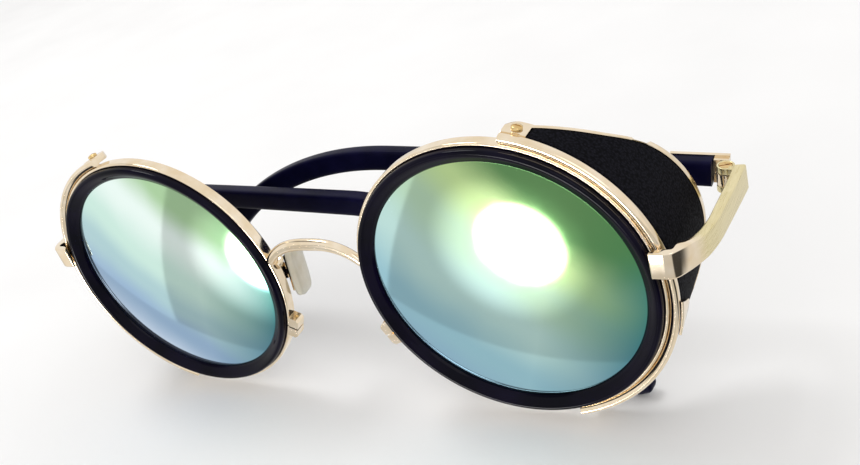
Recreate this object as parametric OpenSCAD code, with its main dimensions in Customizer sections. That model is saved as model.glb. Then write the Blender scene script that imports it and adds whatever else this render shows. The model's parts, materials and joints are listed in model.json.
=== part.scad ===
// Round mirrored glacier glasses with leather side shields and folding temples.
// Frame: +X is the wearer's left, +Y points back towards the wearer's ears, +Z is up.
// The origin is the middle of the nose bridge, on the plane of the lens rims and level with the lens centres.
// Left-hand pieces are drawn once and mirrored to the right, apart from the two folding angles.

/* [Lenses] */
// Width of each lens opening, rim groove to rim groove
lens_width = 51; // [48:0.5:53]
// Gap between the two lens openings
bridge_width = 18; // [17:0.5:20]
// Radius of the mirror that shows inside the black ring
mirror_radius = 22.2; // [21:0.1:22.6]
// Radius of the lens's spherical front
lens_curve = 115; // [95:5:200]
// Thickness of the lens
lens_thickness = 1.6; // [1.2:0.1:1.8]

/* [Gold frame] */
// Outer radius of the gold eyewire
eyewire_radius = 25.3; // [25.3:0.1:25.4]
// How far the eyewire's front stands before the rim plane
eyewire_front = 0.1; // [0:0.1:0.2]
// How far the eyewire reaches back
eyewire_back = 2.1; // [2:0.1:2.4]
// Height of the arch's middle above the lens centres
bridge_rise = 7.5; // [6.5:0.5:9]
// Distance from the glasses' middle to each hinge pin
hinge_x = 63.7; // [63.4:0.1:64.2]
// Distance of the hinge pins behind the rim plane
hinge_y = 26.8; // [26:0.2:28]
// Height of the hinges' middle above the lens centres
hinge_z = 2.5; // [2:0.1:3]

/* [Side shields] */
// Outer radius of the shield's front rim
shield_rim_radius = 26.8; // [26.7:0.1:26.9]
// Highest angle of the gold shield, from straight outwards
shield_top = 77; // [74:1:79]
// Lowest angle of the gold shield, from straight outwards
shield_bottom = -73; // [-76:1:-70]
// Deepest reach of the leather behind the rim plane
shield_depth = 19.3; // [17:0.1:20]
// Thickness of the leather, which lies inside a raised gold border
leather_thickness = 0.5; // [0.4:0.1:0.6]

/* [Temples] */
// Length of a temple along its curve, hinge pin to tip
temple_length = 128; // [122:1:132]
// Straight length before the ear hook bends down
temple_straight = 61.6; // [58:0.2:70]
// Bend radius of the ear hook
hook_radius = 58.6; // [54:0.2:64]
// Thickness of the black temple
temple_thickness = 2.9; // [2.6:0.1:3]
// How far a temple bows inwards, 100 mm from its hinge
temple_bow = 2.2; // [1:0.1:3]
// How far the left temple is folded past straight across
left_fold = -0.4; // [-2:0.1:0]
// How far the right temple is folded past straight across
right_fold = 8.5; // [7:0.1:9]
// Lean of the left hinge pin, which lifts its folded temple over the other one
left_lean = 5.6; // [4:0.1:6]
// Lean of the right hinge pin
right_lean = 2; // [1:0.1:2.4]

/* [Nose pads] */
// Height of a nose pad
pad_height = 9.5; // [8:0.5:11]
// Front-to-back length of a nose pad
pad_length = 6.4; // [5.5:0.1:6.6]
// Thickness of a nose pad
pad_thickness = 1.6; // [1.2:0.1:1.8]
// Angle at which the pads open towards the wearer
pad_splay = 20; // [15:1:25]
// Angle at which the pads' tops lean back
pad_tilt = 14; // [10:1:16]

/* [Hidden] */

gold = "#d9c49a";
black = "#15141c";
leather_black = "#1b1b1e";
mirror_green = "#7fc4a8";
silicone = "#e8e6df";
eps = 0.01;

lens_x = (lens_width + bridge_width) / 2;   // each lens centre from the middle
groove_r = 24.9;                            // floor of the eyewire's groove
bezel_r = 24.65;                            // where the black ring meets the eyewire
bezel_back = 2.6;
lens_r = 22.95;
lens_edge_y = 0.3;                          // front of the lens at its edge
lens_sag = lens_curve - sqrt(lens_curve * lens_curve - lens_r * lens_r);
lens_centre_y = lens_edge_y - lens_sag + lens_curve;

rim_lock_angle = 204;                       // on the nose side, 24 degrees below level
rim_lock_out_r = 27.2;
rim_lock_front = -0.3;
rim_lock_depth = 2.2;
rim_lock_half = 2.2;
rim_lock_screw_r = 0.4;
rim_lock_head_r = 0.62;
rim_lock_screw_x = 26.3;
rim_lock_screw_y = 0.8;
slit = 0.3;

plate_in_r = 25.6;
plate_out_r = 26.3;
leather_out_r = plate_out_r + leather_thickness;
border_r = leather_out_r + 0.1;             // the raised border's outer radius
rivet_angles = [72.8, -69.2];
rivet_y = 2.4;

arm_outer_back_x = 67.0;                    // the arm's outer face, by the hinge
arm_thickness = 1.8;
arm_end_y = hinge_y - 0.3;
block_front_y = -1.9;
block_in_x = 58.6;
bezel_front_y = -1.4;                       // just before the black ring's crown
block_seat_y = -0.5;                        // the block's back, just before the shield's front rim
rim_clear_r = 27.1;                         // clear of the shield's rim and border

knuckle_r = 1.4;
knuckle_half = 2.3;                         // half the height of the three knuckles
knuckle_split = 1.1;                        // half the height of the middle knuckle
hinge_screw_r = 0.55;
hinge_bore_r = 0.62;
hinge_head_r = 1.05;
hinge_head_t = 0.5;
knuckle_gap = 0.06;

head_plate_in = 2.65;                       // the temple's gold plate, outwards from the pin
head_plate_out = 3.4;
head_start = -0.2;                          // the plate's end, along the temple from the pin
head_length = 9.5;
head_half = 2.4;
tang_length = 14;
arm_start = 2.3;                            // where the black temple starts
temple_middle = 1.55;                       // outwards from the pin to the temple's middle
pin_places = [5.2, 8.0];
temple_pin_r = 0.45;

pad_pivot = [12.3, 5.2, -1.6];              // middle of the left pad's box
pad_box_half = 1.2;
pad_slot_half = 0.55;
pad_lug_half = 0.48;
pad_lug_r = 0.8;
pad_screw_r = 0.36;
pad_bore_r = 0.41;
pad_back = 2.1;                             // the pad's back face, from the pivot

// ---- helpers ----------------------------------------------------------------------------------

function arc(cx, cy, r, from, to, steps) =
    [for (i = [0:steps]) let (a = from + (to - from) * i / steps) [cx + r * cos(a), cy + r * sin(a)]];

// Smooth curve through [position, value] pairs, which rise in position.
function spline_at(pairs, x) =
    let (last = len(pairs) - 1, found = [for (i = [0:last - 1]) if (x >= pairs[i][0]) i],
         i = len(found) == 0 ? 0 : found[len(found) - 1],
         a = pairs[i], b = pairs[i + 1], w = b[0] - a[0], t = min(1, max(0, (x - a[0]) / w)),
         before = pairs[max(0, i - 1)], after = pairs[min(last, i + 2)],
         ma = i == 0 ? (b[1] - a[1]) : w * (b[1] - before[1]) / (b[0] - before[0]),
         mb = i + 1 == last ? (b[1] - a[1]) : w * (after[1] - a[1]) / (after[0] - a[0]))
    (2 * t * t * t - 3 * t * t + 1) * a[1] + (t * t * t - 2 * t * t + t) * ma
    + (3 * t * t - 2 * t * t * t) * b[1] + (t * t * t - t * t) * mb;

// One solid skin over a row of rings that all have the same number of points.
module skin(rings) {
    sides = len(rings[0]);
    last = len(rings) - 1;
    points = [for (ring = rings) each ring];
    walls = [for (i = [0:last - 1], j = [0:sides - 1])
        [i * sides + j, (i + 1) * sides + j, (i + 1) * sides + (j + 1) % sides, i * sides + (j + 1) % sides]];
    caps = [[for (j = [0:sides - 1]) j], [for (j = [sides - 1:-1:0]) last * sides + j]];
    polyhedron(points, concat(walls, caps), convexity = 6);
}

// A revolved section about a lens's axis; the section's points are [radius, depth].
module revolve(section, from = 0, to = 360) {
    rotate([90, 0, 0]) rotate([0, 0, from])
        rotate_extrude(angle = to - from, $fn = 180) polygon([for (p = section) [p[0], -p[1]]]);
}

module at_left_lens() { translate([lens_x, 0, 0]) children(); }
module mirrored() { mirror([1, 0, 0]) children(); }

// Places a piece on the left lens's rim: X outwards, Y back, Z along the rim.
module on_rim(angle) { at_left_lens() rotate([0, -angle, 0]) children(); }

// The frame of the left hinge with its pin along Z. X runs along the folded temple, Y outwards.
module at_left_hinge(lean, fold) {
    mirrored() translate([-hinge_x, hinge_y, hinge_z]) rotate([0, -lean, 0]) rotate([0, 0, -fold]) children();
}
module at_right_hinge(lean, fold) { mirrored() at_left_hinge(lean, fold) children(); }

// ---- lenses and rims --------------------------------------------------------------------------

module lens() {
    color(mirror_green) at_left_lens() intersection() {
        translate([0, lens_centre_y, 0]) difference() {
            sphere(r = lens_curve, $fn = 400);
            sphere(r = lens_curve - lens_thickness, $fn = 400);
        }
        rotate([90, 0, 0]) cylinder(r = lens_r, h = 12, center = true, $fn = 180);
    }
}

// Black ring that holds the lens in a groove and clips into the eyewire's groove.
module bezel() {
    groove_back = lens_edge_y + lens_thickness + 0.05;
    groove = [[mirror_radius, groove_back], [lens_r, groove_back], [lens_r, lens_edge_y],
        [mirror_radius, lens_edge_y - 0.2]];
    crown = [[22.4, -0.3], [22.8, -0.6], [23.3, -0.95], [23.7, -1.2], [24.05, -1.3], [24.38, -1.25],
        [24.58, -1.08], [bezel_r, -0.8]];
    tongue = [[bezel_r, 0.3], [groove_r, 0.3], [groove_r, 1.1], [bezel_r, 1.1]];
    color(black) at_left_lens()
        revolve(concat(crown, tongue, [[bezel_r, bezel_back - 0.3], [24.3, bezel_back],
            [22.6, bezel_back], [mirror_radius, bezel_back - 0.3]], groove));
}

// Gold wire round the ring, slit at the rim lock so that it can open.
module eyewire() {
    front = -eyewire_front;
    section = [[bezel_r, front + 0.1], [bezel_r + 0.1, front], [eyewire_radius - 0.2, front],
        [eyewire_radius, front + 0.2], [eyewire_radius, eyewire_back - 0.2], [eyewire_radius - 0.2, eyewire_back],
        [bezel_r + 0.2, eyewire_back], [bezel_r, eyewire_back - 0.2], [bezel_r, 1.1], [groove_r, 1.1],
        [groove_r, 0.3], [bezel_r, 0.3]];
    color(gold) difference() {
        at_left_lens() revolve(section);
        on_rim(rim_lock_angle) translate([groove_r, 0, 0]) cube([4, 8, slit], center = true);
    }
}

// Two half blocks that a screw pulls together, which closes the eyewire.
module rim_lock() {
    corner = 0.7;                           // side of the cut that takes off each outer corner
    head_seat = rim_lock_half - 0.6;        // where the screw's head rests
    color(gold) on_rim(rim_lock_angle) difference() {
        translate([groove_r, rim_lock_front, -rim_lock_half])
            cube([rim_lock_out_r - groove_r, rim_lock_depth, 2 * rim_lock_half]);
        rotate([90, 0, 0]) cylinder(r = eyewire_radius, h = 12, center = true, $fn = 180);
        translate([24, -1, -slit / 2]) cube([6, 5, slit]);
        translate([rim_lock_screw_x, rim_lock_screw_y, 0]) {
            cylinder(r = rim_lock_screw_r, h = 8, center = true, $fn = 32);
            translate([0, 0, head_seat]) cylinder(r = rim_lock_head_r, h = 2, $fn = 32);
        }
        for (side = [-1, 1]) translate([rim_lock_out_r, rim_lock_front + rim_lock_depth / 2, side * rim_lock_half])
            rotate([0, 45, 0]) cube([corner, 4, corner], center = true);
    }
}

module slotted_screw(shank_r, length, head_r, head_t) {
    difference() {
        union() {
            translate([0, 0, -length]) cylinder(r = shank_r, h = length + eps, $fn = 32);
            cylinder(r = head_r, h = head_t, $fn = 40);
        }
        translate([-head_r, -0.12, head_t * 0.5]) cube([2 * head_r, 0.24, head_t]);
    }
}

module rim_lock_screw() {
    color(gold) on_rim(rim_lock_angle)
        translate([rim_lock_screw_x, rim_lock_screw_y, rim_lock_half - 0.6])
            slotted_screw(rim_lock_screw_r, 2 * rim_lock_half - 0.8, rim_lock_head_r - 0.02, 0.4);
}

// Arched bar whose ends butt against the eyewires' sides.
module bridge() {
    half = 10;
    steps = 32;
    foot = 9.5;                             // where the arch comes down to the rims
    drop = 3.3;
    depth = 0.6;                            // of the bar's middle behind the rim plane
    function height(x) = bridge_rise - drop * pow(abs(x) / foot, 2.8);
    function slope(x) = atan((height(x + 0.05) - height(x - 0.05)) / 0.1);
    function ring(x) = let (tall = 0.85 + 0.25 * cos(90 * x / half), deep = 0.8)
        [for (k = [0:15]) let (a = 360 * k / 16, up = tall * sin(a))
            [x - up * sin(slope(x)), depth + deep * cos(a), height(x) + up * cos(slope(x))]];
    color(gold) difference() {
        skin([for (i = [0:steps]) ring(-half + 2 * half * i / steps)]);
        for (side = [-1, 1]) translate([side * lens_x, 0, 0])
            rotate([90, 0, 0]) cylinder(r = eyewire_radius, h = 10, center = true, $fn = 180);
    }
}

// ---- side shields -----------------------------------------------------------------------------

// Depth of the leather's rear edge against the angle from straight outwards.
leather_edge = [[-66, 3.6], [-55, 5.2], [-42, 8.8], [-28, 13.6], [-12, 17.6], [2, shield_depth],
    [20, 17.7], [35, 14.6], [50, 9], [60, 6], [69, 3.7]];
leather_top = 69;
leather_bottom = -66;
function plate_margin(a) = a > leather_top || a < leather_bottom ? 0.9 : a > 41 || a < -45 ? 0.75 : a < 36 ? 1.15 : 0.35;

// A section of [radius, depth] points, which may change with the angle, swept round the left lens's axis.
module swept_round(section, angles) {
    at_left_lens() skin([for (a = angles) [for (p = section(a)) [p[0] * cos(a), p[1], p[0] * sin(a)]]]);
}
function sheet_section(in_r, out_r, front, back) = [[in_r, front], [out_r, front], [out_r, back], [in_r, back]];

// Rounded front rim against the eyewire, the curved sheet behind it and its raised border, in one piece.
module shield_plate() {
    edge_gap = 0.03;
    function end_gap(a) = min(shield_top - a, a - shield_bottom);
    function rounded_end(a) = end_gap(a) > 4 ? 0 : 1.4 * pow(1 - end_gap(a) / 4, 2);
    function back(a) = spline_at(leather_edge, a) + plate_margin(a) - rounded_end(a);
    function beyond(a) = a > leather_top + edge_gap || a < leather_bottom - edge_gap;
    function bed_r(a) = beyond(a) ? border_r : plate_out_r;
    function bed_back(a) = beyond(a) ? 1.3 : spline_at(leather_edge, a) + edge_gap;
    seat_r = eyewire_radius + eps;
    rim_front = concat([[seat_r, 0.35], [plate_in_r, -0.1]], arc(shield_rim_radius - 0.55, 0.15, 0.55, 220, 360, 6),
        [[shield_rim_radius, 0.95], [shield_rim_radius - 0.15, 1.1]]);
    angles = concat([for (a = [shield_bottom:1:leather_bottom - 1]) a], [leather_bottom - 0.1, leather_bottom],
        [for (a = [leather_bottom + 1:2.5:leather_top - 1]) a], [leather_top, leather_top + 0.1],
        [for (a = [leather_top + 1:1:shield_top]) a]);
    color(gold) swept_round(function (a) concat(rim_front,
        [[bed_r(a), 1.1], [bed_r(a), bed_back(a)], [border_r, bed_back(a) + eps], [border_r, back(a)],
         [plate_in_r, back(a)], [plate_in_r, 1.1], [seat_r, 1.1]]), angles);
}

module shield_leather() {
    color(leather_black) swept_round(function (a)
        sheet_section(plate_out_r + 0.02, leather_out_r, 1.15, spline_at(leather_edge, a)),
        [for (a = [leather_bottom:2.5:leather_top]) a]);
}

// Domed rivets that fix the sheet's two ends.
module shield_rivets() {
    color(gold) for (angle = rivet_angles) on_rim(angle)
        translate([border_r + 0.03, rivet_y, 0]) rotate([0, 90, 0]) difference() {
            intersection() {
                cylinder(r = 0.85, h = 0.6, $fn = 40);
                translate([0, 0, -1.2]) sphere(r = 1.8, $fn = 60);
            }
            translate([0, 0, 0.95]) cube([3, 0.22, 1], center = true);
        }
}

// Pointed leaf below the endpiece that laps from the rim over the leather.
module shield_tab() {
    low = -17;
    high = -4;
    function reach(a) = 0.6 + 3.9 * pow(max(0, sin(180 * (a - low) / (high - low))), 1.6);
    color(gold) swept_round(function (a)
        sheet_section(border_r + 0.02, border_r + 0.42, 0.2, reach(a)), [for (a = [low:1:high]) a]);
}

// ---- endpieces and hinges ---------------------------------------------------------------------

module knuckle(low, high, bore_r) {
    translate([0, 0, low]) difference() {
        children();
        translate([0, 0, -1]) cylinder(r = bore_r, h = high - low + 2, $fn = 40);
    }
}

// Block on the rim's front that sweeps back into the arm, with the hinge's outer knuckles.
module endpiece(lean) {
    inner_back_x = arm_outer_back_x - arm_thickness;
    outer = [[-1.2, 62.3], [1, 63.7], [2.8, 64.7], [5.5, 65.5], [9.2, 66.1], [17, 66.6], [arm_end_y - 0.5, arm_outer_back_x]];
    plan = concat(arc(block_in_x + 0.4, block_front_y + 0.4, 0.4, 180, 270, 4),
        [[60.9, block_front_y], [61.7, block_front_y + 0.2]],
        [for (y = [-1.2, -0.4, 0.5, 1.5, 2.6, 4, 6, 9, 13, 19, arm_end_y - 0.5]) [spline_at(outer, y), y]],
        [[arm_outer_back_x - 0.4, arm_end_y], [inner_back_x, arm_end_y]],
        [for (y = [19, 13, 9, 6.5, 4.6]) [spline_at(outer, y) - arm_thickness * (0.72 + 0.28 * y / arm_end_y), y]],
        [[63.3, 2.9], [62.5, 1.7], [61.75, 1.2], [61.7, -eyewire_front], [block_in_x, -eyewire_front]]);
    side = [[-3, 3.5], [-3, 7.8], [0.2, 7.8], [1.6, 7.5], [3.4, 7.0], [arm_end_y - 0.4, 4.95], [arm_end_y + 1, 4.6],
        [arm_end_y + 1, 0.6], [arm_end_y - 0.4, 0.4], [3.4, 3.2], [1.2, 3.4]];
    neck_x = inner_back_x - hinge_x + 0.4;
    color(gold) union() {
        difference() {
            intersection() {
                linear_extrude(height = 20, center = true) polygon(plan);
                rotate([90, 0, 90]) linear_extrude(height = 200, center = true) polygon(side);
            }
            at_left_lens() translate([0, bezel_front_y, 0]) rotate([-90, 0, 0])
                cylinder(r = bezel_r + 0.08, h = 4, $fn = 180);
            at_left_lens() translate([0, block_seat_y, 0]) rotate([-90, 0, 0]) difference() {
                cylinder(r = rim_clear_r, h = 4, $fn = 180);
                translate([0, 0, -1]) cylinder(r = eyewire_radius, h = 6, $fn = 180);
            }
        }
        for (low = [-knuckle_half, knuckle_split + knuckle_gap])
            translate([hinge_x, hinge_y, hinge_z]) rotate([0, lean, 0])
                knuckle(low, low + knuckle_half - knuckle_split - knuckle_gap, hinge_screw_r) difference() {
                    union() {
                        cylinder(r = knuckle_r, h = knuckle_half - knuckle_split - knuckle_gap, $fn = 60);
                        translate([0, -1.35, 0])
                            cube([neck_x, 1.05, knuckle_half - knuckle_split - knuckle_gap]);
                    }
                    if (low > 0) translate([0, 0, knuckle_half - low - hinge_head_t])
                        cylinder(r = hinge_head_r, h = 1, $fn = 60);
                }
    }
}

module hinge_screw(lean) {
    color(gold) translate([hinge_x, hinge_y, hinge_z]) rotate([0, lean, 0]) rotate([0, 0, 25])
        translate([0, 0, knuckle_half - hinge_head_t])
            slotted_screw(hinge_screw_r, 2 * knuckle_half - hinge_head_t, hinge_head_r - 0.02, hinge_head_t - 0.05);
}

// ---- temples ----------------------------------------------------------------------------------
// Each is drawn along X from its hinge pin, with Y outwards, and placed by the hinge.

module temple_head() {
    half = knuckle_split - knuckle_gap;
    color(gold) union() {
        knuckle(-half, half, hinge_bore_r) union() {
            cylinder(r = knuckle_r, h = 2 * half, $fn = 60);
            translate([head_start, 0, 0]) cube([1.7, head_plate_in, 2 * half]);
        }
        translate([head_start, 1.6, -head_half + 0.3]) cube([2.4, head_plate_in - 1.6, 2 * head_half - 0.6]);
        difference() {
            translate([head_start, head_plate_in, -head_half])
                cube([head_length, head_plate_out - head_plate_in, 2 * head_half]);
            for (place = pin_places) translate([place, 0, 0])
                rotate([-90, 0, 0]) cylinder(r = temple_pin_r, h = 8, $fn = 32);
        }
        difference() {
            translate([2, 1.65, -0.9]) cube([tang_length, 0.8, 1.8]);
            for (place = pin_places) translate([place, 0, 0])
                rotate([-90, 0, 0]) cylinder(r = temple_pin_r, h = 8, $fn = 32);
        }
    }
}

// Black arm: straight, then the ear hook, with rounded edges and a flattened tip.
module temple_arm() {
    function turn(s) = max(0, s - temple_straight) / hook_radius * 180 / PI;
    function along(s) = s < temple_straight ? s : temple_straight + hook_radius * sin(turn(s));
    function drop(s) = s < temple_straight ? 0 : hook_radius * (cos(turn(s)) - 1);
    function half_height(s) = spline_at([[0, 2.3], [20, 2.2], [70, 2.15], [100, 2.2], [120, 2.3], [128, 2.1]], s);
    function end_round(s) = let (d = min(temple_length - s, 1.6)) sqrt(max(0.05, 1 - pow(1 - d / 1.6, 2)));
    function ring(s) = let (x = along(s), y = temple_middle - temple_bow * x * x / 10000, z = drop(s),
            wide = temple_thickness / 2 * (0.72 + 0.28 * end_round(s)), tall = half_height(s) * (0.6 + 0.4 * end_round(s)))
        [for (k = [0:15]) let (a = 360 * (k + 0.5) / 16, c = cos(a), n = sin(a),
                p = wide * sign(c) * pow(abs(c), 0.5), q = tall * sign(n) * pow(abs(n), 0.5))
            [x + q * sin(turn(s)), y + p, z + q * cos(turn(s))]];
    places = concat([for (s = [arm_start, 5, 9, 14]) s], [for (i = [1:6]) 14 + 8 * i],
        [for (i = [1:26]) 62 + 2.45 * i], [126.6, 127.3, 127.8, 128]);
    color(black) difference() {
        skin([for (s = places) ring(s * temple_length / 128)]);
        translate([0, head_plate_in, -3]) cube([head_start + head_length + 0.05, 3, 6]);
        translate([0, 1.65, -0.9]) cube([2 + tang_length, 0.8, 1.8]);
        for (place = pin_places) translate([place, -2, 0])
            rotate([-90, 0, 0]) cylinder(r = temple_pin_r, h = 8, $fn = 32);
    }
}

// Pins that hold the gold head in the black arm.
module temple_pins() {
    color(gold) for (place = pin_places) translate([place, 0.35, 0]) rotate([-90, 0, 0])
        cylinder(r = temple_pin_r, h = head_plate_out - 0.35 + 0.08, $fn = 32);
}

// ---- nose pads --------------------------------------------------------------------------------
// The pad frame at the left pivot: X points away from the nose, Y back along the pad, Z along the screw.

module at_left_pad() { translate(pad_pivot) rotate([0, 0, -pad_splay]) rotate([-pad_tilt, 0, 0]) children(); }

// Wire from the eyewire to a small box whose cheeks carry the pad's screw.
module pad_arm() {
    radius = 0.55;
    route = [[9.1, 1.0, 2.4], [9.25, 2.2, 2.5], [9.8, 3.2, 2.8], [11.2, 3.9, 3.0], [13.2, 4.2, 2.2], [14.3, 4.6, 0.6],
        [13.9, 4.7, -1.0]];
    last = len(route) - 1;
    function at(t) = [for (axis = [0:2]) spline_at([for (i = [0:last]) [i / last, route[i][axis]]], t)];
    function ring(t) = let (d = at(t + 0.01) - at(t - 0.01), along = d / norm(d),
            side = cross(along, [0, 0, 1]), across = side / norm(side), up = cross(across, along))
        [for (k = [0:9]) at(t) + radius * (cos(36 * k) * across - sin(36 * k) * up)];
    color(gold) union() {
        difference() {
            skin([for (i = [0:26]) ring(i / 26)]);
            at_left_lens() rotate([90, 0, 0]) cylinder(r = eyewire_radius, h = 2 * eyewire_back, center = true, $fn = 180);
            at_left_pad() translate([-1, -1.1, -pad_box_half]) cube([2.5, 2.2, 2 * pad_box_half]);
        }
        at_left_pad() difference() {
            translate([-1, -1.1, -pad_box_half]) cube([2.5, 2.2, 2 * pad_box_half]);
            translate([-2, -2, -pad_slot_half]) cube([3, 4, 2 * pad_slot_half]);
            cylinder(r = pad_screw_r, h = 6, center = true, $fn = 32);
        }
    }
}

module pad_screw() {
    color(gold) at_left_pad() union() {
        cylinder(r = pad_screw_r, h = 2 * pad_box_half, center = true, $fn = 32);
        translate([0, 0, pad_box_half]) difference() {
            cylinder(r = 0.6, h = 0.35, $fn = 32);
            translate([-1, -0.1, 0.2]) cube([2, 0.2, 1]);
        }
    }
}

// Metal lug on the pad's back, free to rock on the screw.
module pad_insert() {
    color(gold) at_left_pad() difference() {
        union() {
            translate([0, 0, -pad_lug_half]) cylinder(r = pad_lug_r, h = 2 * pad_lug_half, $fn = 40);
            translate([-pad_back + 0.2, -pad_lug_r, -pad_lug_half]) cube([pad_back - 0.2, 2 * pad_lug_r, 2 * pad_lug_half]);
            translate([-pad_back, -2.3, -3.4]) cube([0.45, 4.6, 6.8]);
        }
        cylinder(r = pad_bore_r, h = 6, center = true, $fn = 32);
    }
}

module nose_pad() {
    y = pad_length / 2 - 1.6;
    z = pad_height / 2 - 2.4;
    color(silicone) at_left_pad() translate([-pad_back - pad_thickness / 2, 0, 0]) hull()
        for (corner = [[-y, -z], [y, -z], [-y, z], [y, z]]) translate([0, corner[0], corner[1]]) {
            rotate([0, 90, 0]) cylinder(r = 1.6 + 0.8 * (corner[1] < 0 ? 0.4 : 0), h = pad_thickness * 0.5, center = true, $fn = 32);
            rotate([0, 90, 0]) cylinder(r = 1.2, h = pad_thickness, center = true, $fn = 32);
        }
}

// ---- parts ------------------------------------------------------------------------------------

bridge();
lens();  // left_lens
mirrored() lens();  // right_lens
bezel();  // left_bezel
mirrored() bezel();  // right_bezel
eyewire();  // left_eyewire
mirrored() eyewire();  // right_eyewire
rim_lock();  // left_rim_lock
mirrored() rim_lock();  // right_rim_lock
rim_lock_screw();  // left_rim_lock_screw
mirrored() rim_lock_screw();  // right_rim_lock_screw
endpiece(left_lean);  // left_endpiece
mirrored() endpiece(right_lean);  // right_endpiece
hinge_screw(left_lean);  // left_hinge_screw
mirrored() hinge_screw(right_lean);  // right_hinge_screw
shield_plate();  // left_shield_plate
mirrored() shield_plate();  // right_shield_plate
shield_leather();  // left_shield_leather
mirrored() shield_leather();  // right_shield_leather
shield_rivets();  // left_shield_rivets
mirrored() shield_rivets();  // right_shield_rivets
shield_tab();  // left_shield_tab
mirrored() shield_tab();  // right_shield_tab
pad_arm();  // left_pad_arm
mirrored() pad_arm();  // right_pad_arm
pad_screw();  // left_pad_screw
mirrored() pad_screw();  // right_pad_screw
pad_insert();  // left_pad_insert
mirrored() pad_insert();  // right_pad_insert
nose_pad();  // left_nose_pad
mirrored() nose_pad();  // right_nose_pad
at_left_hinge(left_lean, left_fold) temple_head();  // left_temple_head
at_right_hinge(right_lean, right_fold) temple_head();  // right_temple_head
at_left_hinge(left_lean, left_fold) temple_arm();  // left_temple_arm
at_right_hinge(right_lean, right_fold) temple_arm();  // right_temple_arm
at_left_hinge(left_lean, left_fold) temple_pins();  // left_temple_pins
at_right_hinge(right_lean, right_fold) temple_pins();  // right_temple_pins
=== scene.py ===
import json
import math

import bmesh
import bpy
from mathutils import Matrix, Vector

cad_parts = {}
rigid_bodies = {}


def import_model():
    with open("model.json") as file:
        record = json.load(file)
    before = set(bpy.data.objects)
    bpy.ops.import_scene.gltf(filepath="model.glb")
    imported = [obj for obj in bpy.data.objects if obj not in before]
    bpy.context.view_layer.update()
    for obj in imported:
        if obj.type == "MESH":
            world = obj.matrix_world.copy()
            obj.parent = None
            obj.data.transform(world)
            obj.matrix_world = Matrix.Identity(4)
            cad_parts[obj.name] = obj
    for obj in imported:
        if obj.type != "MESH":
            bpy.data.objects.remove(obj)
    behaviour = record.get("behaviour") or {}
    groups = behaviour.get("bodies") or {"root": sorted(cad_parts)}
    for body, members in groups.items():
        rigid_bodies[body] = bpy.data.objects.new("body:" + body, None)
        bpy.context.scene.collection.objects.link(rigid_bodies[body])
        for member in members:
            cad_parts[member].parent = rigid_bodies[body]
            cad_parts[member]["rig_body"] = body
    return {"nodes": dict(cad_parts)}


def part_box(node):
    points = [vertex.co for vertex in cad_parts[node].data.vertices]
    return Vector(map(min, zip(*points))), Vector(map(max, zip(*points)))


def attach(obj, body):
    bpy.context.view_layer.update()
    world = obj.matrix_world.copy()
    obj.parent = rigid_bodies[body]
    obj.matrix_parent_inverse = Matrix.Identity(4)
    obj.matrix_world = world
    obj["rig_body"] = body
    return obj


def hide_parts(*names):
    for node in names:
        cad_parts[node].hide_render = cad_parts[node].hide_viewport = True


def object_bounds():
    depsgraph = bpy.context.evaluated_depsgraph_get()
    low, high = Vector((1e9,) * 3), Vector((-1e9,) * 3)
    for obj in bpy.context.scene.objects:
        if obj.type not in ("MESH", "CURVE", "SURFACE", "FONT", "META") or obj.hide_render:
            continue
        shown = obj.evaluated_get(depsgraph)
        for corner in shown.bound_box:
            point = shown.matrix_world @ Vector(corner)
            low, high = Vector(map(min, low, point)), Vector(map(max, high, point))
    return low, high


# Round mirrored glacier glasses, folded, on a plain pale floor. Lengths are in millimetres in the
# CAD frame (+X the wearer's left, +Y back, +Z up), except in the studio section, which is in metres.
# Pieces are drawn for the left and mirrored.
MM = 0.001
SIDES = ("left", "right")
FLAT_MIRROR = Matrix.Diagonal((-1, 1, 1, 1))

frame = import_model()
cad_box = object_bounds()
nodes = frame["nodes"]

# Lenses, rings and wires: radii about the lens's axis, and depths along Y.
LENS_X = (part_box("left_lens")[0].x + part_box("left_lens")[1].x) / 2 / MM
LENS_CURVE = 115.0                      # radius of the sphere that the front lies on
LENS_R = 22.95
LENS_EDGE_Y = 0.3
LENS_THICK = 1.6
LENS_CENTRE_Y = LENS_EDGE_Y + math.sqrt(LENS_CURVE ** 2 - LENS_R ** 2)
MIRROR_R = 22.2                         # what the ring leaves open
BEZEL_R = 24.65
BEZEL_BACK = 2.6
WIRE_R = 25.3
WIRE_FRONT = -0.1
WIRE_BACK = 2.1
RIM_LOCK_ANGLE = 204.0
SLIT = 0.3

# Side shields: angles are about the lens's axis, and LEATHER_EDGE is (angle, depth) of the rear edge.
PLATE_IN_R = 25.6
PLATE_OUT_R = 26.3
RIM_R = 26.8
LEATHER_OUT_R = 26.8
BORDER_R = 26.9
PLATE_ANGLES = (-73.0, 77.0)
LEATHER_ANGLES = (-66.0, 69.0)
TAB_ANGLES = (-17, -4)
LEATHER_EDGE = [(-66, 3.6), (-55, 5.2), (-42, 8.8), (-28, 13.6), (-12, 17.6), (2, 19.3),
                (20, 17.7), (35, 14.6), (50, 9), (60, 6), (69, 3.7)]

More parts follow.
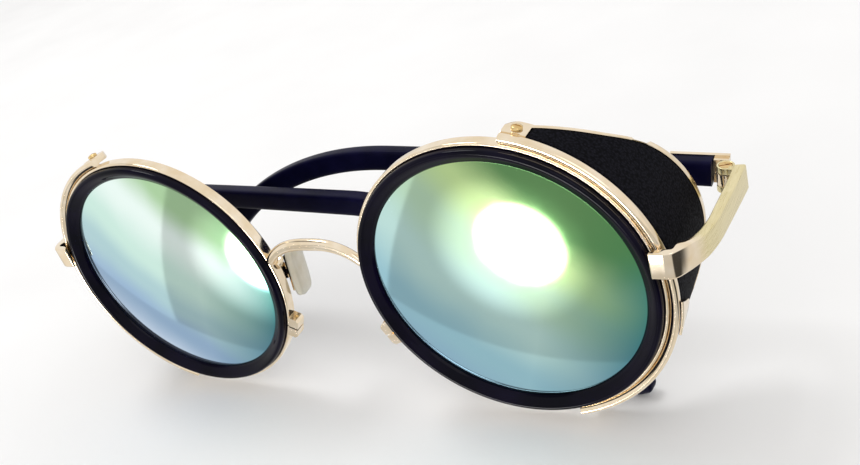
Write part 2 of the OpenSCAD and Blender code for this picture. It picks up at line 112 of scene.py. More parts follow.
# Temples: LEAN tips the hinge pin sideways and FOLD turns the temple about it, in degrees.
HINGE = (63.7, 26.8, 2.5)
KNUCKLES = ((-2.3, -1.16), (1.16, 2.3)) # the endpiece's two, from and to along the pin
LEAN = {"left": 5.6, "right": 2.0}
FOLD = {"left": -0.4, "right": 8.5}
TEMPLE_LENGTH = 128.0
TEMPLE_STRAIGHT = 61.6
HOOK_R = 58.6
TEMPLE_THICK = 2.9
TEMPLE_BOW = 2.2                        # sideways, at BOW_AT from the hinge
BOW_AT = 100.0
TEMPLE_MIDDLE = 1.55
TEMPLE_START = 2.3
TEMPLE_CORNER = 0.36
TIP_ROUND = 1.6
HEAD_LENGTH = 9.5
HEAD_SEAT = 2.65                        # flat that the gold head's plate lies on
TEMPLE_HALF_HEIGHT = [(0, 2.3), (20, 2.2), (70, 2.15), (100, 2.2), (120, 2.3), (128, 2.1)]

# Nose pads: splay and tilt are in degrees.
PAD_PIVOT = Vector((12.3, 5.2, -1.6))
PAD_SPLAY = 20.0
PAD_TILT = 14.0
PAD_BACK = 2.1
PAD_HEIGHT = 9.5
PAD_LENGTH = 6.4
PAD_THICK = 1.6
PAD_CORNER = 0.42


# ---- node materials ---------------------------------------------------------------------------

def srgb(*rgb):
    """Linear RGBA from 0..255 display values."""
    return tuple((c / 255 / 12.92 if c / 255 <= 0.04045 else ((c / 255 + 0.055) / 1.055) ** 2.4)
                 for c in rgb) + (1.0,)


def add_node(tree, kind, **settings):
    node = tree.nodes.new(kind)
    for key, value in settings.items():
        setattr(node, key, value)
    return node


class Paint:
    """A node material with a Principled shader and small helpers for wiring it."""

    def __init__(self, name, **sockets):
        self.material = bpy.data.materials.new(name)
        self.material.use_nodes = True
        self.tree = self.material.node_tree
        self.shader = self.tree.nodes["Principled BSDF"]
        for key, value in sockets.items():
            self.shader.inputs[key.replace("_", " ")].default_value = value

    def add(self, kind, **settings):
        return add_node(self.tree, kind, **settings)

    def link(self, source, target):
        self.tree.links.new(source, target)

    def drive(self, socket, source):
        """The shader's own socket follows source."""
        self.link(source, self.shader.inputs[socket])

    def calculate(self, operation, first, second, third=None):
        """A math node; each operand is a socket or a number."""
        node = self.add("ShaderNodeMath", operation=operation)
        for target, value in zip(node.inputs, (first, second, third)):
            if isinstance(value, (int, float)):
                target.default_value = value
            elif value is not None:
                self.link(value, target)
        return node.outputs["Value"]

    def mix(self, factor, below, above):
        """The colour below, going to above where factor is 1."""
        node = self.add("ShaderNodeMix", data_type="RGBA")
        self.link(factor, node.inputs["Factor"])
        self.link(above, node.inputs["B"])
        if isinstance(below, tuple):
            node.inputs["A"].default_value = below
        else:
            self.link(below, node.inputs["A"])
        return node.outputs["Result"]

    def place(self, scale=(1, 1, 1)):
        """Object coordinates in millimetres, stretched by scale."""
        coords = self.add("ShaderNodeTexCoord")
        mapping = self.add("ShaderNodeMapping")
        mapping.inputs["Scale"].default_value = [s / MM for s in scale]
        self.link(coords.outputs["Object"], mapping.inputs["Vector"])
        return mapping.outputs["Vector"]

    def noise(self, scale, detail=3.0, stretch=(1, 1, 1), roughness=0.5):
        node = self.add("ShaderNodeTexNoise")
        node.inputs["Scale"].default_value = scale
        node.inputs["Detail"].default_value = detail
        node.inputs["Roughness"].default_value = roughness
        self.link(self.place(stretch), node.inputs["Vector"])
        return node.outputs["Fac"]

    def ramp(self, source, stops, interpolation="LINEAR"):
        node = self.add("ShaderNodeValToRGB")
        node.color_ramp.interpolation = interpolation
        points = node.color_ramp.elements
        while len(points) < len(stops):
            points.new(0.5)
        for point, (position, colour) in zip(points, stops):
            point.position = position
            point.color = colour
        self.link(source, node.inputs["Fac"])
        return node.outputs["Color"]

    def spread(self, source, low, high, start=0.3, end=0.7):
        """A value that runs from low to high as source runs from start to end."""
        node = self.add("ShaderNodeMapRange")
        for key, value in (("From Min", start), ("From Max", end), ("To Min", low), ("To Max", high)):
            node.inputs[key].default_value = value
        self.link(source, node.inputs["Value"])
        return node.outputs["Result"]

    def bump(self, height, distance, strength=1.0):
        node = self.add("ShaderNodeBump")
        node.inputs["Strength"].default_value = strength
        node.inputs["Distance"].default_value = distance * MM
        self.link(height, node.inputs["Height"])
        self.drive("Normal", node.outputs["Normal"])


def pale_gold(paint):
    return paint.ramp(paint.noise(0.35, 2.0), [(0.3, srgb(232, 212, 180)), (0.7, srgb(242, 228, 206))])


def polished_gold():
    paint = Paint("polished_gold", Metallic=1.0)
    paint.drive("Base Color", pale_gold(paint))
    paint.drive("Roughness", paint.spread(paint.noise(1.6, 4.0), 0.07, 0.14))
    paint.bump(paint.noise(2.2, 3.0), 0.004)
    return paint.material


def satin_gold():
    """Polished at the front block and its bend, then brushed, duller and yellower along the arm."""
    paint = Paint("satin_gold", Metallic=1.0)
    streaks = paint.noise(2.0, 5.0, (1.0, 0.06, 1.4), 0.6)
    brushed = paint.ramp(streaks, [(0.3, srgb(214, 200, 150)), (0.7, srgb(238, 226, 184))])
    depth = paint.add("ShaderNodeSeparateXYZ")
    paint.link(paint.place(), depth.inputs["Vector"])
    along = paint.spread(depth.outputs["Y"], 0.0, 1.0, 1.8, 4.2)
    paint.drive("Base Color", paint.mix(along, pale_gold(paint), brushed))
    grain = paint.spread(streaks, 0.16, 0.34)
    paint.drive("Roughness", paint.calculate("MULTIPLY_ADD", along, grain, 0.06))
    paint.bump(paint.calculate("MULTIPLY", along, streaks), 0.01)
    return paint.material


def screw_gold():
    paint = Paint("screw_gold", Metallic=1.0)
    tone = paint.noise(1.2, 3.0)
    paint.drive("Base Color", paint.ramp(tone, [(0.3, srgb(205, 170, 110)), (0.7, srgb(232, 204, 150))]))
    paint.drive("Roughness", paint.spread(tone, 0.16, 0.3))
    paint.bump(paint.noise(4.0, 2.0), 0.008)
    return paint.material


def mirror_lens(side):
    """Mirror tint, blue to green upwards and deeper at the +X edge: partly the coating's own colour, partly
    painted reflection, since each lens has its own ramp. The inside is smoky.
    """
    paint = Paint(f"mirror_lens_{side}", Metallic=1.0)
    axis = paint.add("ShaderNodeVectorMath", operation="SUBTRACT")
    paint.link(paint.place(), axis.inputs[0])
    axis.inputs[1].default_value = (LENS_X if side == "left" else -LENS_X, 0, 0)

    def along(x, z, start, end):
        """0 to 1 across the lens along (x, z), where -1 and 1 are the mirror's edges."""
        fade = paint.add("ShaderNodeVectorMath", operation="DOT_PRODUCT")
        paint.link(axis.outputs["Vector"], fade.inputs[0])
        fade.inputs[1].default_value = (x / MIRROR_R, 0, z / MIRROR_R)
        return paint.spread(fade.outputs["Value"], 0.0, 1.0, start, end)

    cloud = paint.calculate("MULTIPLY_ADD", paint.noise(0.07, 2.0), 0.12, along(0.62, 0.6, -0.85, 0.8))
    # Each lens gets its own ramp: the coating's colour with that lens's reflections painted in, so the
    # pale, near-white stops are painted reflection.
    stops = {
        "left": [(0.0, srgb(142, 182, 208)), (0.25, srgb(152, 196, 210)), (0.5, srgb(190, 224, 220)),
                 (0.7, srgb(186, 218, 190)), (0.85, srgb(206, 236, 168)), (1.0, srgb(112, 160, 104))],
        "right": [(0.0, srgb(214, 232, 255)), (0.3, srgb(148, 180, 212)), (0.48, srgb(174, 208, 214)),
                  (0.65, srgb(204, 236, 226)), (0.85, srgb(236, 252, 248)), (1.0, srgb(174, 210, 166))]}
    soft = paint.ramp(cloud, stops[side], "EASE")
    deep = paint.ramp(along(0.0, 1.0, -0.9, 0.9), [
        (0.0, srgb(70, 132, 160)), (0.45, srgb(76, 148, 140)), (0.7, srgb(84, 150, 96)),
        (1.0, srgb(96, 150, 88))], "EASE")
    # Coating colour with painted reflection, going to the deeper tint at the +X edge.
    coating_and_reflection = paint.mix(along(1.0, -0.4, 0.35, 1.1), soft, deep)
    sphere = paint.add("ShaderNodeVectorMath", operation="DISTANCE")
    paint.link(axis.outputs["Vector"], sphere.inputs[0])
    sphere.inputs[1].default_value = (0, LENS_CENTRE_Y, 0)
    coated = LENS_CURVE - 0.4
    smoky = LENS_CURVE - 0.7
    front = paint.spread(sphere.outputs["Value"], 0.0, 1.0, smoky, coated)
    paint.drive("Base Color", paint.mix(front, srgb(58, 62, 64), coating_and_reflection))
    paint.drive("Roughness", paint.spread(paint.noise(0.4, 3.0), 0.045, 0.07))
    return paint.material


def black_ring():
    """Glossy acetate: navy-black with a violet cast in slow clouds."""
    paint = Paint("black_ring", Roughness=0.06, Specular_IOR_Level=0.08)
    cloud = paint.noise(0.12, 3.0)
    paint.drive("Base Color", paint.ramp(cloud, [(0.35, srgb(5, 5, 16)), (0.65, srgb(14, 10, 30))]))
    paint.bump(paint.noise(0.5, 2.0), 0.006)
    return paint.material


def black_temple():
    """Satin moulded plastic, navy-black, with fine mould texture."""
    paint = Paint("black_temple", Specular_IOR_Level=0.05)
    grain = paint.noise(3.0, 4.0)
    cloud = paint.noise(0.2, 3.0)
    paint.drive("Base Color", paint.ramp(cloud, [(0.35, srgb(8, 8, 34)), (0.65, srgb(15, 14, 46))]))
    paint.drive("Roughness", paint.spread(grain, 0.3, 0.42))
    paint.bump(grain, 0.01)
    return paint.material


def leather():
    """Matte black leather: fine pebbled grain with paler, smoother tops."""
    paint = Paint("leather", Specular_IOR_Level=0.04)
    cells = paint.add("ShaderNodeTexVoronoi", feature="SMOOTH_F1")
    cells.inputs["Scale"].default_value = 2.6
    cells.inputs["Smoothness"].default_value = 0.35
    paint.link(paint.place(), cells.inputs["Vector"])
    pebbles = paint.spread(cells.outputs["Distance"], 1.0, 0.0, 0.1, 0.75)
    height = paint.calculate("MULTIPLY_ADD", paint.noise(5.0, 4.0), 0.45, pebbles)
    paint.drive("Base Color", paint.ramp(height, [(0.3, srgb(6, 6, 10)), (1.0, srgb(17, 17, 25))]))
    paint.drive("Roughness", paint.spread(pebbles, 0.8, 0.6, 0.0, 1.0))
    paint.bump(height, 0.035, 0.8)
    return paint.material


def silicone():
    """Milky, slightly yellowed pad material that lets light through."""
    paint = Paint("silicone", Transmission_Weight=0.45, Roughness=0.32, IOR=1.42)
    cloud = paint.noise(0.5, 3.0)
    paint.drive("Base Color", paint.ramp(cloud, [(0.3, srgb(226, 222, 204)), (0.7, srgb(240, 238, 228))]))
    paint.bump(paint.noise(1.4, 2.0), 0.02)
    return paint.material


# ---- mesh helpers -----------------------------------------------------------------------------

def arc(centre_x, centre_y, radius, start, end, steps):
    angles = [math.radians(start + (end - start) * i / steps) for i in range(steps + 1)]
    return [(centre_x + radius * math.cos(a), centre_y + radius * math.sin(a)) for a in angles]


def soft_square(around, power, phase=0.0):
    """An outline between a circle and a square, as pairs from -1 to 1; a lower power is squarer."""
    turns = [2 * math.pi * (k + phase) / around for k in range(around)]
    return [tuple(math.copysign(abs(v) ** power, v) for v in (math.cos(a), math.sin(a))) for a in turns]


def smooth_between(before, start, end, after, t):
    """Catmull-Rom curve from start to end as t goes from 0 to 1."""
    return 0.5 * (2 * start + (end - before) * t + (2 * before - 5 * start + 4 * end - after) * t * t
                  + (3 * start - before - 3 * end + after) * t ** 3)


def spline_at(pairs, x):
    """Smooth curve through (position, value) pairs, which rise in position."""
    last = len(pairs) - 1
    i = max([k for k in range(last) if x >= pairs[k][0]], default=0)
    a, b = pairs[i], pairs[i + 1]
    before, after = pairs[max(0, i - 1)], pairs[min(last, i + 2)]
    width = b[0] - a[0]
    t = min(1, max(0, (x - a[0]) / width))
    slope_a = b[1] - a[1] if i == 0 else width * (b[1] - before[1]) / (b[0] - before[0])
    slope_b = b[1] - a[1] if i + 1 == last else width * (after[1] - a[1]) / (after[0] - a[0])
    return ((2 * t ** 3 - 3 * t * t + 1) * a[1] + (t ** 3 - 2 * t * t + t) * slope_a
            + (3 * t * t - 2 * t ** 3) * b[1] + (t ** 3 - t * t) * slope_b)


def rounded(section, radius, steps=3):
    """A closed outline with each corner filleted, as far as its sides allow."""
    out = []
    points = [Vector(p) for p in section]
    for i, corner in enumerate(points):
        before, after = points[i - 1] - corner, points[(i + 1) % len(points)] - corner
        reach = min(radius, 0.45 * before.length, 0.45 * after.length)
        start, end = corner + before.normalized() * reach, corner + after.normalized() * reach
        for k in range(steps + 1):
            t = k / steps
            out.append(tuple((1 - t) ** 2 * start + 2 * t * (1 - t) * corner + t * t * end))
    return out


def skin(rings, closed=False):
    """Vertices and faces of one skin over rings of equal length, capped unless it closes on itself."""
    sides, count = len(rings[0]), len(rings)
    verts = [p for ring in rings for p in ring]
    faces = [(i * sides + j, i * sides + (j + 1) % sides,
              (i + 1) % count * sides + (j + 1) % sides, (i + 1) % count * sides + j)
             for i in range(count if closed else count - 1) for j in range(sides)]
    if not closed:
        faces.append(tuple(range(sides)))
        faces.append(tuple(reversed(range((count - 1) * sides, count * sides))))
    return verts, faces


def join(shape, extra, placing=Matrix.Identity(4)):
    """Two shapes as one, the second one placed."""
    verts, faces = shape
    more = [tuple(placing @ Vector(v)) for v in extra[0]]
    return verts + more, faces + [tuple(i + len(verts) for i in face) for face in extra[1]]


def round_lens(point, angle):
    """Section point (radius, depth) turned to an angle about the left lens's axis."""
    a = math.radians(angle)
    return (LENS_X + point[0] * math.cos(a), point[1], point[0] * math.sin(a))


def swept_round(section, angles):
    """Section (a function of the angle) swept about the left lens's axis."""
    return skin([[round_lens(p, a) for p in section(a)] for a in angles])


def steps_between(start, end, step):
    """Even positions from start to end, no further apart than step."""
    count = max(1, math.ceil((end - start) / step))
    return [start + (end - start) * i / count for i in range(count + 1)]


def piece(node, shape, material, slot, placing=Matrix.Identity(4), crease=38):
    """A mesh that stands for a CAD node and rides on its body; edges over crease degrees are sharp."""
    verts, faces = shape
    mesh = bpy.data.meshes.new(node + "_fine")
    mesh.from_pydata([placing @ Vector(v) * MM for v in verts], [], faces)
    mesh.validate()
    work = bmesh.new()
    work.from_mesh(mesh)
    bmesh.ops.remove_doubles(work, verts=work.verts, dist=1e-7)
    bmesh.ops.recalc_face_normals(work, faces=work.faces)
    work.to_mesh(mesh)
    work.free()
    mesh.materials.append(material)
    mesh.polygons.foreach_set("use_smooth", [True] * len(mesh.polygons))
    mesh.set_sharp_from_angle(angle=math.radians(crease))
    obj = bpy.data.objects.new(node + "_fine", mesh)
    bpy.context.scene.collection.objects.link(obj)
    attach(obj, nodes[node]["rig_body"])
    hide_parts(node)


def to_side(side, placing=Matrix.Identity(4)):
    """Where a left-hand shape goes on its own side."""
    return placing if side == "left" else FLAT_MIRROR @ placing


def on_both(part, shape, material, slot, placing=Matrix.Identity(4), **options):
    """The same left-hand shape on the left, and mirrored on the right."""
    for side in SIDES:
        paint = material[side] if isinstance(material, dict) else material
        piece(f"{side}_{part}", shape, paint, slot, to_side(side, placing), **options)


# ---- pieces -----------------------------------------------------------------------------------

def lens_shape():
    """Dish with two round faces on one centre, closed by a fan at each middle."""
    rings = 44
    around = 240
    radii = [LENS_R * i / rings for i in range(1, rings + 1)]

    def depth(r, offset):
        return LENS_CENTRE_Y - math.sqrt((LENS_CURVE - offset) ** 2 - r * r)

    front = [(r, depth(r, 0)) for r in radii]
    back = [(r, depth(r, LENS_THICK)) for r in reversed(radii)]
    profile = front + back
    verts = [round_lens(p, 360 * k / around) for p in profile for k in range(around)]
    faces = [(i * around + k, i * around + (k + 1) % around,
              (i + 1) * around + (k + 1) % around, (i + 1) * around + k)
             for i in range(len(profile) - 1) for k in range(around)]
    for first, pole in ((0, depth(0, 0)), ((len(profile) - 1) * around, depth(0, LENS_THICK))):
        verts.append((LENS_X, pole, 0))
        faces += [(len(verts) - 1, first + (k + 1) % around, first + k) for k in range(around)]
    return verts, faces


def ring_shape(section, start=0.0, end=360.0, step=1.25):
    """Section swept about the left lens's axis, closed on itself when it goes all the way round."""
    angles = steps_between(start, end, step)
    whole = end - start >= 360
    rings = [[round_lens(p, a) for p in section] for a in (angles[:-1] if whole else angles)]
    return skin(rings, closed=whole)


def bezel_section():
    """Domed front, plain back and the lens's seat."""
    face = [(22.3, -0.12), (22.5, -0.38), (22.9, -0.66), (23.4, -1.02), (23.8, -1.24), (24.1, -1.3),
            (24.36, -1.24), (24.55, -1.06), (BEZEL_R, -0.78)]
    crown = [(r, spline_at(face, r)) for r in steps_between(face[0][0], face[-3][0], 0.08)] + face[-2:]
    bevel = 0.3
    back = [(BEZEL_R, BEZEL_BACK - bevel), (24.3, BEZEL_BACK), (22.6, BEZEL_BACK),
            (MIRROR_R, BEZEL_BACK - bevel), (MIRROR_R, LENS_EDGE_Y + LENS_THICK - bevel),
            (MIRROR_R + 0.1, LENS_EDGE_Y), (MIRROR_R, LENS_EDGE_Y - 0.25)]
    return crown + back


def eyewire_section():
    """Gold band with rounded corners."""
    corners = [(BEZEL_R, WIRE_FRONT), (WIRE_R, WIRE_FRONT), (WIRE_R, WIRE_BACK), (BEZEL_R, WIRE_BACK)]
    return rounded(corners, radius=0.34, steps=5)


def build_rims(gold, ring, mirrors):
    on_both("lens", lens_shape(), mirrors, "mirror_lens", crease=60)
    on_both("bezel", ring_shape(bezel_section()), ring, "black_ring", crease=50)
    half_slit = math.degrees(SLIT / 2 / WIRE_R)
    wire = ring_shape(eyewire_section(), RIM_LOCK_ANGLE - 360 + half_slit, RIM_LOCK_ANGLE - half_slit)
    on_both("eyewire", wire, gold, "polished_gold", crease=50)


def bridge_shape():
    """Arched bar, a little taller in the middle, with both ends inside the rims."""
    half = 9.75
    steps = 96
    top = 7.5
    drop = 3.3                              # from the middle to where the rims are
    rim_x = 9.5
    middle_y = 0.6
    half_depth = 0.8
    outline = soft_square(32, 0.85)

    def height(x):
        return top - drop * (abs(x) / rim_x) ** 2.8

    def ring(x):
        slope = math.atan((height(x + 0.05) - height(x - 0.05)) / 0.1)
        tall = 0.85 + 0.25 * math.cos(math.pi / 2 * x / half)
        return [(x - tall * up * math.sin(slope), middle_y + half_depth * back,
                 height(x) + tall * up * math.cos(slope)) for back, up in outline]

    return skin([ring(-half + 2 * half * i / steps) for i in range(steps + 1)])


def plate_margin(a):
    """Gold that shows beyond the leather's rear edge, in steps with soft shoulders."""
    stops = [(-80, 0.9), (-66.5, 0.9), (-65.5, 0.75), (-45.5, 0.75), (-44.5, 1.15), (35.5, 1.15),
             (36.5, 0.35), (40.5, 0.35), (41.5, 0.75), (68.5, 0.75), (69.5, 0.9), (80, 0.9)]
    for (a0, m0), (a1, m1) in zip(stops, stops[1:]):
        if a <= a1:
            return m0 + (m1 - m0) * (a - a0) / (a1 - a0)
    return stops[-1][1]


def plate_back(a):
    """Depth of the plate's rear edge, which rounds off over the last few degrees."""
    rounded_span = 4
    depth_lost = 1.4
    gap = min(PLATE_ANGLES[1] - a, a - PLATE_ANGLES[0])
    round_off = depth_lost * (1 - gap / rounded_span) ** 2 if gap < rounded_span else 0
    return spline_at(LEATHER_EDGE, a) + plate_margin(a) - round_off


def plate_section(a):
    """Front rim, the sheet under the leather, and the raised border that frames the leather."""
    seat = WIRE_R + 0.01
    back = plate_back(a)
    rim_back = 1.1
    curl = 0.55
    beyond = a > LEATHER_ANGLES[1] + 0.05 or a < LEATHER_ANGLES[0] - 0.05
    bed_r = BORDER_R - 0.01 if beyond else PLATE_OUT_R
    bed_back = 1.3 if beyond else spline_at(LEATHER_EDGE, a) + 0.03
    front = [(seat, 0.35), (PLATE_IN_R, -0.1)] + arc(RIM_R - curl, 0.15, curl, 220, 360, 14)
    front += [(RIM_R, 0.8), (RIM_R - 0.04, 1.0), (RIM_R - 0.12, rim_back)]
    lip = min(0.12, 0.3 * (back - bed_back))
    return front + [(bed_r, rim_back + 0.01), (bed_r, bed_back), (BORDER_R - 0.08, bed_back + 0.01),
                    (BORDER_R, bed_back + lip), (BORDER_R, back - lip), (BORDER_R - 0.04, back - 0.3 * lip),
                    (BORDER_R - 0.12, back), (PLATE_IN_R + 0.12, back), (PLATE_IN_R, back - lip),
                    (PLATE_IN_R, rim_back), (seat, rim_back)]


def leather_section(a):
    """Thin leather with turned, rounded edges, thinned towards its cut ends."""
    glue = 0.02
    inner = PLATE_OUT_R + glue
    gap = min(LEATHER_ANGLES[1] - a, a - LEATHER_ANGLES[0])
    thick = (LEATHER_OUT_R - PLATE_OUT_R - glue) * (1 - 0.45 * max(0, 1 - gap / 0.9) ** 2)
    front = 1.15
    back = spline_at(LEATHER_EDGE, a)
    turn = min(0.3, 0.2 * (back - front))
    corners = 5
    columns = 24
    edge = [(inner + thick * math.sqrt(max(0.0, 1 - (1 - k / corners) ** 2)), front + turn * k / corners)
            for k in range(corners + 1)]
    top = [(inner + thick, front + turn + (back - front - 2 * turn) * k / columns)
           for k in range(1, columns)]
    return edge + top + [(r, front + back - y) for r, y in reversed(edge)]


def tab_section(a):
    """Thin leaf over the leather that comes to a point towards the back."""
    first, last = TAB_ANGLES
    reach = 0.6 + 3.9 * max(0, math.sin(math.pi * (a - first) / (last - first))) ** 1.6
    front = 0.2
    inner = BORDER_R + 0.02
    outer = inner + 0.4
    return rounded([(inner, front), (outer, front), (outer, reach), (inner, reach)], radius=0.12)


def build_shields(gold, hide):
    first, last = PLATE_ANGLES
    low, high = LEATHER_ANGLES
    close = (0, 0.15, 0.4, 0.8, 1.3, 2)            # the plate's ends are round, so they get finer steps
    angles = [first + d for d in close] + [last - d for d in close]
    angles += steps_between(first + close[-1], last - close[-1], 0.5)[1:-1]
    angles = sorted(angles + [low - 0.1, low, high, high + 0.1])
    on_both("shield_plate", swept_round(plate_section, angles), gold, "polished_gold", crease=40)
    near = (0, 0.2, 0.5)
    angles = [low + d for d in near] + steps_between(low + 1, high - 1, 0.75)
    angles += [high - d for d in reversed(near)]
    on_both("shield_leather", swept_round(leather_section, angles), hide, "leather", crease=60)
    on_both("shield_tab", swept_round(tab_section, steps_between(*TAB_ANGLES, 0.25)), gold, "polished_gold")


def hinge_frame(side):
    """Folded temple's frame: X along the temple, Y outwards, Z along the hinge pin."""
    placing = (Matrix.Translation((-HINGE[0], HINGE[1], HINGE[2]))
               @ Matrix.Rotation(math.radians(-LEAN[side]), 4, "Y")
               @ Matrix.Rotation(math.radians(-FOLD[side]), 4, "Z"))
    return placing if side == "right" else FLAT_MIRROR @ placing


def temple_shape():
    """Arm and ear hook; s is the distance along the temple from the hinge pin."""
    outline = soft_square(40, TEMPLE_CORNER, phase=0.5)

    def ring(s):
        angle = max(0, s - TEMPLE_STRAIGHT) / HOOK_R
        x = s if s < TEMPLE_STRAIGHT else TEMPLE_STRAIGHT + HOOK_R * math.sin(angle)
        z = 0 if s < TEMPLE_STRAIGHT else HOOK_R * (math.cos(angle) - 1)
        y = TEMPLE_MIDDLE - TEMPLE_BOW * x * x / BOW_AT ** 2
        left = min(TEMPLE_LENGTH - s, TIP_ROUND)
        close = math.sqrt(max(0.02, 1 - (1 - left / TIP_ROUND) ** 2))
        wide = TEMPLE_THICK / 2 * (0.6 + 0.4 * close)
        tall = spline_at(TEMPLE_HALF_HEIGHT, s) * (0.45 + 0.55 * close)
        out = HEAD_SEAT - y if s < HEAD_LENGTH - 0.15 else wide
        return [(x + tall * up * math.sin(angle), y + min(wide * side, out),
                 z + tall * up * math.cos(angle)) for side, up in outline]

    straight = steps_between(TEMPLE_START, TEMPLE_STRAIGHT, 2.0)
    straight = sorted(set(straight + [HEAD_LENGTH - 0.2, HEAD_LENGTH - 0.1, HEAD_LENGTH]))
    hook = steps_between(TEMPLE_STRAIGHT, TEMPLE_LENGTH - 2, 0.8)[1:]
    tip = [TEMPLE_LENGTH - d for d in (TIP_ROUND, 1.2, 0.9, 0.6, 0.4, 0.22, 0.1, 0.0)]
    return skin([ring(s) for s in straight + hook + tip])


def build_temples(plastic):
    for side in SIDES:
        piece(f"{side}_temple_arm", temple_shape(), plastic, "black_temple", hinge_frame(side), crease=48)


def pad_shape():
    """Soft-cornered flat pad with rounded edges."""
    layers = 11
    edge = 0.6
    outline = soft_square(72, PAD_CORNER)
    rings = []
    for i in range(layers):
        t = -1 + 2 * i / (layers - 1)
        x = -PAD_BACK - PAD_THICK / 2 + t * PAD_THICK / 2
        inset = edge * (1 - math.sqrt(max(0, 1 - abs(t) ** 3.2)))
        half_y = PAD_LENGTH / 2 - inset
        half_z = PAD_HEIGHT / 2 - inset
        rings.append([(x, half_y * across, half_z * up) for across, up in outline])
    return skin(rings)


def build_pads(soft):
    placing = (Matrix.Translation(PAD_PIVOT) @ Matrix.Rotation(math.radians(-PAD_SPLAY), 4, "Z")
               @ Matrix.Rotation(math.radians(-PAD_TILT), 4, "X"))
    on_both("nose_pad", pad_shape(), soft, "silicone", placing, crease=60)


# The endpiece's plan: outer point, inner point, top and bottom height at each station.
ENDPIECE_STATIONS = [
    ((58.62, -1.8), (58.62, -1.45), 7.7, 3.55), ((58.75, -1.9), (58.75, -1.4), 7.8, 3.5),
    ((59.2, -1.92), (59.2, -0.9), 7.8, 3.48), ((60.2, -1.92), (60.2, -0.55), 7.8, 3.46),
    ((60.9, -1.9), (60.95, -0.52), 7.8, 3.45), ((61.7, -1.68), (61.5, -0.45), 7.8, 3.42),
    ((62.35, -1.15), (61.72, -0.2), 7.8, 3.4), ((62.95, -0.35), (61.78, 0.5), 7.76, 3.38),
    ((63.55, 0.6), (61.95, 1.25), 7.62, 3.34), ((64.15, 1.7), (62.5, 1.85), 7.42, 3.28),
    ((64.75, 2.9), (63.1, 2.75), 7.2, 3.22), ((65.2, 4.2), (63.6, 4.0), 6.98, 3.08),
    ((65.6, 6.0), (64.1, 5.9), 6.75, 2.85), ((66.08, 9.2), (64.55, 9.1), 6.4, 2.5),
    ((66.35, 13.0), (64.75, 13.0), 6.1, 2.1), ((66.62, 17.5), (64.95, 17.5), 5.68, 1.6),
    ((66.85, 22.0), (65.1, 22.0), 5.3, 1.05), ((67.0, 26.0), (65.2, 26.0), 4.97, 0.5),
    ((66.98, 26.28), (65.22, 26.28), 4.93, 0.48), ((66.7, 26.48), (65.4, 26.48), 4.8, 0.6)]


def endpiece_shape(lean):
    """Swept block and arm with eased edges, and the hinge's two outer knuckles."""
    flat = [[*outer, *inner, top, bottom] for outer, inner, top, bottom in ENDPIECE_STATIONS]
    padded = flat[:1] + flat + flat[-1:]
    between = 5
    stations = [[smooth_between(*values, k / between) for values in zip(*padded[i:i + 4])]
                for i in range(len(flat) - 1) for k in range(between)]
    rings = []
    for outer_x, outer_y, inner_x, inner_y, top, bottom in stations + flat[-1:]:
        span = math.hypot(outer_x - inner_x, outer_y - inner_y)
        corners = [(0, bottom), (span, bottom), (span, top), (0, top)]
        outline = [(u / span, z) for u, z in rounded(corners, radius=0.32, steps=4)]
        rings.append([(inner_x + (outer_x - inner_x) * u, inner_y + (outer_y - inner_y) * u, z)
                      for u, z in outline])
    shape = skin(rings)
    to_pin = Matrix.Translation(HINGE) @ Matrix.Rotation(math.radians(lean), 4, "Y")
    for low, high in KNUCKLES:
        shape = join(shape, knuckle_shape(low, high), to_pin)
    return shape


def knuckle_shape(low, high):
    """Rounded hinge barrel about Z from low to high, open for its screw, with a neck towards +X."""
    around = 48
    bore = 1.06
    radius = 1.4
    profile = rounded([(bore, low), (radius, low), (radius, high), (bore, high)], radius=0.16)
    turns = [2 * math.pi * k / around for k in range(around)]
    barrel = skin([[(r * math.cos(a), r * math.sin(a), z) for r, z in profile] for a in turns], closed=True)
    below = low + 0.03
    above = high - 0.03
    neck = rounded([(-1.35, below), (-0.35, below), (-0.35, above), (-1.35, above)], radius=0.12)
    return join(barrel, skin([[(x, y, z) for y, z in neck] for x in (0.55, 1.9)]))


def build_endpieces(metal):
    for side in SIDES:
        piece(f"{side}_endpiece", endpiece_shape(LEAN[side]), metal, "satin_gold", to_side(side), crease=42)


def keep_node(name, material, bevel=0.0):
    """A CAD node that stays as it is gets its material and, where asked, softened edges."""
    obj = nodes[name]
    obj.data.materials.clear()
    obj.data.materials.append(material)
    weld = obj.modifiers.new("weld", "WELD")
    weld.merge_threshold = 0.002 * MM
    if bevel:
        soften = obj.modifiers.new("soften", "BEVEL")
        soften.width = bevel * MM
        soften.segments = 3
        soften.limit_method = "ANGLE"
        soften.angle_limit = math.radians(30)


# ---- studio -----------------------------------------------------------------------------------

def make_camera():
    """Three-quarter view from the front and above, rolled so that the glasses tilt."""
    data = bpy.data.cameras.new("camera")
    data.sensor_width = 36.0
    data.lens = 37.58
    data.clip_start = 0.01
    cam = bpy.data.objects.new("camera", data)
    bpy.context.scene.collection.objects.link(cam)
    azimuth = 34.26
    elevation = 29.01
    roll = -18.57
    distance = 0.156
    target = Vector((0.01599, 0.01314, 0.00141))
    turned = (Matrix.Rotation(math.radians(azimuth), 4, "Z")
              @ Matrix.Rotation(math.radians(90 - elevation), 4, "X")
              @ Matrix.Rotation(math.radians(roll), 4, "Z"))
    cam.matrix_world = Matrix.Translation(target) @ turned @ Matrix.Translation((0, 0, distance))
    bpy.context.scene.camera = cam


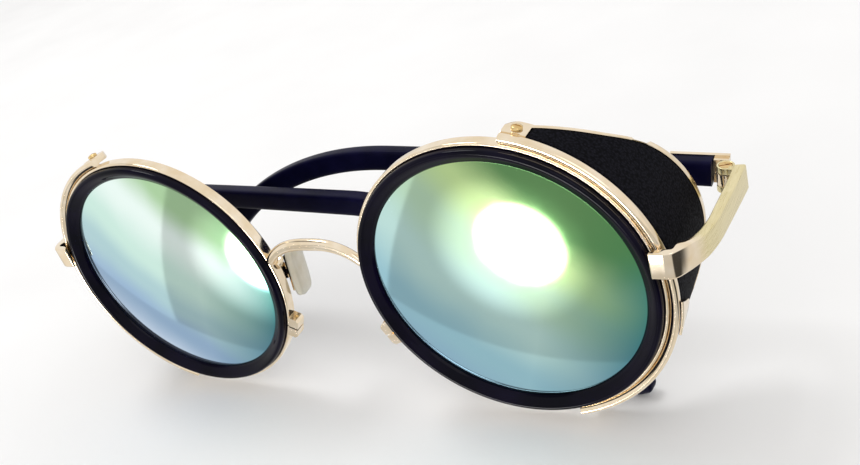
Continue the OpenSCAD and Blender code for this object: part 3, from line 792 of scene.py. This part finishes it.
def make_floor(lowest):
    """Wide pale floor under the glasses; the lenses and the gold don't mirror it."""
    paint = Paint("pale_floor", Roughness=0.6, Specular_IOR_Level=0.2)
    cloud = paint.noise(0.02, 2.0)
    paint.drive("Base Color", paint.ramp(cloud, [(0.3, srgb(237, 237, 238)), (0.7, srgb(241, 241, 242))]))
    mesh = bpy.data.meshes.new("floor")
    half = 4.0
    corners = [(-half, -half, 0), (half, -half, 0), (half, half, 0), (-half, half, 0)]
    mesh.from_pydata(corners, [], [(0, 1, 2, 3)])
    mesh.materials.append(paint.material)
    floor = bpy.data.objects.new("floor", mesh)
    floor.location.z = lowest
    bpy.context.scene.collection.objects.link(floor)
    floor.visible_glossy = False


def make_world():
    """Soft studio: pale all round, with a lamp, a wall's edge and a table line where the lenses look."""
    world = bpy.data.worlds.new("studio")
    bpy.context.scene.world = world
    world.use_nodes = True
    tree = world.node_tree
    tree.nodes.clear()
    direction = add_node(tree, "ShaderNodeTexCoord").outputs["Generated"]

    def step(axis, start, end):
        """0 to 1 as a direction's share along axis goes from start to end, smoothly."""
        dot = add_node(tree, "ShaderNodeVectorMath", operation="DOT_PRODUCT")
        tree.links.new(direction, dot.inputs[0])
        dot.inputs[1].default_value = Vector(axis).normalized()
        ranged = add_node(tree, "ShaderNodeMapRange", interpolation_type="SMOOTHSTEP")
        ranged.inputs["From Min"].default_value = start
        ranged.inputs["From Max"].default_value = end
        tree.links.new(dot.outputs["Value"], ranged.inputs["Value"])
        return ranged.outputs["Result"]

    # Each change of brightness: axis, the share along it where the change starts and ends, value.
    changes = [
        ((0.694, -0.425, -0.582), -0.03, -0.015, 0.66),    # past the wall's edge
        ((0.0, 0.80, -0.60), 0.0, 0.015, 0.84),            # below the table line
        ((0.0, 0.0, 1.0), -0.03, 0.0, 0.97)]               # plain above the horizon
    # Round patches: axis, outer and inner half angle in degrees, value.
    patches = [
        ((0.8, -0.25, -0.5), 27, 15, 0.06),                # dark corner that the endpiece's bend sees
        ((-0.55, -0.24, 0.8), 22, 10, 0.35),               # darker patch overhead
        ((-0.37, -0.835, -0.42), 17, 5, 1.55),             # glow round the lamp
        ((-0.323, -0.860, -0.394), 9.5, 4.5, 24.0)]        # lamp
    changes += [(axis, math.cos(math.radians(outer)), math.cos(math.radians(inner)), value)
                for axis, outer, inner, value in patches]
    level = add_node(tree, "ShaderNodeValue").outputs["Value"]
    level.default_value = 1.0
    for axis, start, end, value in changes:
        mix = add_node(tree, "ShaderNodeMix", data_type="FLOAT")
        tree.links.new(level, mix.inputs["A"])
        mix.inputs["B"].default_value = value
        tree.links.new(step(axis, start, end), mix.inputs["Factor"])
        level = mix.outputs["Result"]
    background = add_node(tree, "ShaderNodeBackground")
    background.inputs["Color"].default_value = (1.0, 0.99, 0.97, 1.0)
    tree.links.new(level, background.inputs["Strength"])
    output = add_node(tree, "ShaderNodeOutputWorld")
    tree.links.new(background.outputs["Background"], output.inputs["Surface"])
    # The floor would hide the lamp from direct sampling, so only reflected rays look for it.
    world.cycles.sampling_method = "NONE"


def soft_light(name, place, size, power):
    """Round area light in metres and watts, aimed at the middle of the glasses."""
    aim = Vector((0, 0.02, 0))
    data = bpy.data.lights.new(name, "AREA")
    data.shape = "DISK"
    data.size = size
    data.energy = power
    light = bpy.data.objects.new(name, data)
    light.location = place
    light.rotation_euler = (aim - Vector(place)).to_track_quat("-Z", "Y").to_euler()
    bpy.context.scene.collection.objects.link(light)


# ---- assembly ---------------------------------------------------------------------------------

gold = polished_gold()
screws = screw_gold()

build_rims(gold, black_ring(), {side: mirror_lens(side) for side in SIDES})
piece("bridge", bridge_shape(), gold, "polished_gold")
build_shields(gold, leather())
build_temples(black_temple())
build_pads(silicone())
build_endpieces(satin_gold())
for side in SIDES:
    keep_node(f"{side}_rim_lock", gold, bevel=0.15)
    keep_node(f"{side}_temple_head", gold, bevel=0.1)
    keep_node(f"{side}_pad_arm", gold)
    keep_node(f"{side}_pad_insert", gold)
    for part in ("rim_lock_screw", "hinge_screw", "shield_rivets", "pad_screw", "temple_pins"):
        keep_node(f"{side}_{part}", screws)

make_camera()
make_floor(cad_box[0].z)
make_world()
soft_light("key", (-0.35, 0.15, 0.75), size=0.3, power=1.6)
soft_light("fill", (0.6, -0.5, 0.6), size=0.5, power=0.6)
bpy.context.scene.view_settings.view_transform = "Standard"
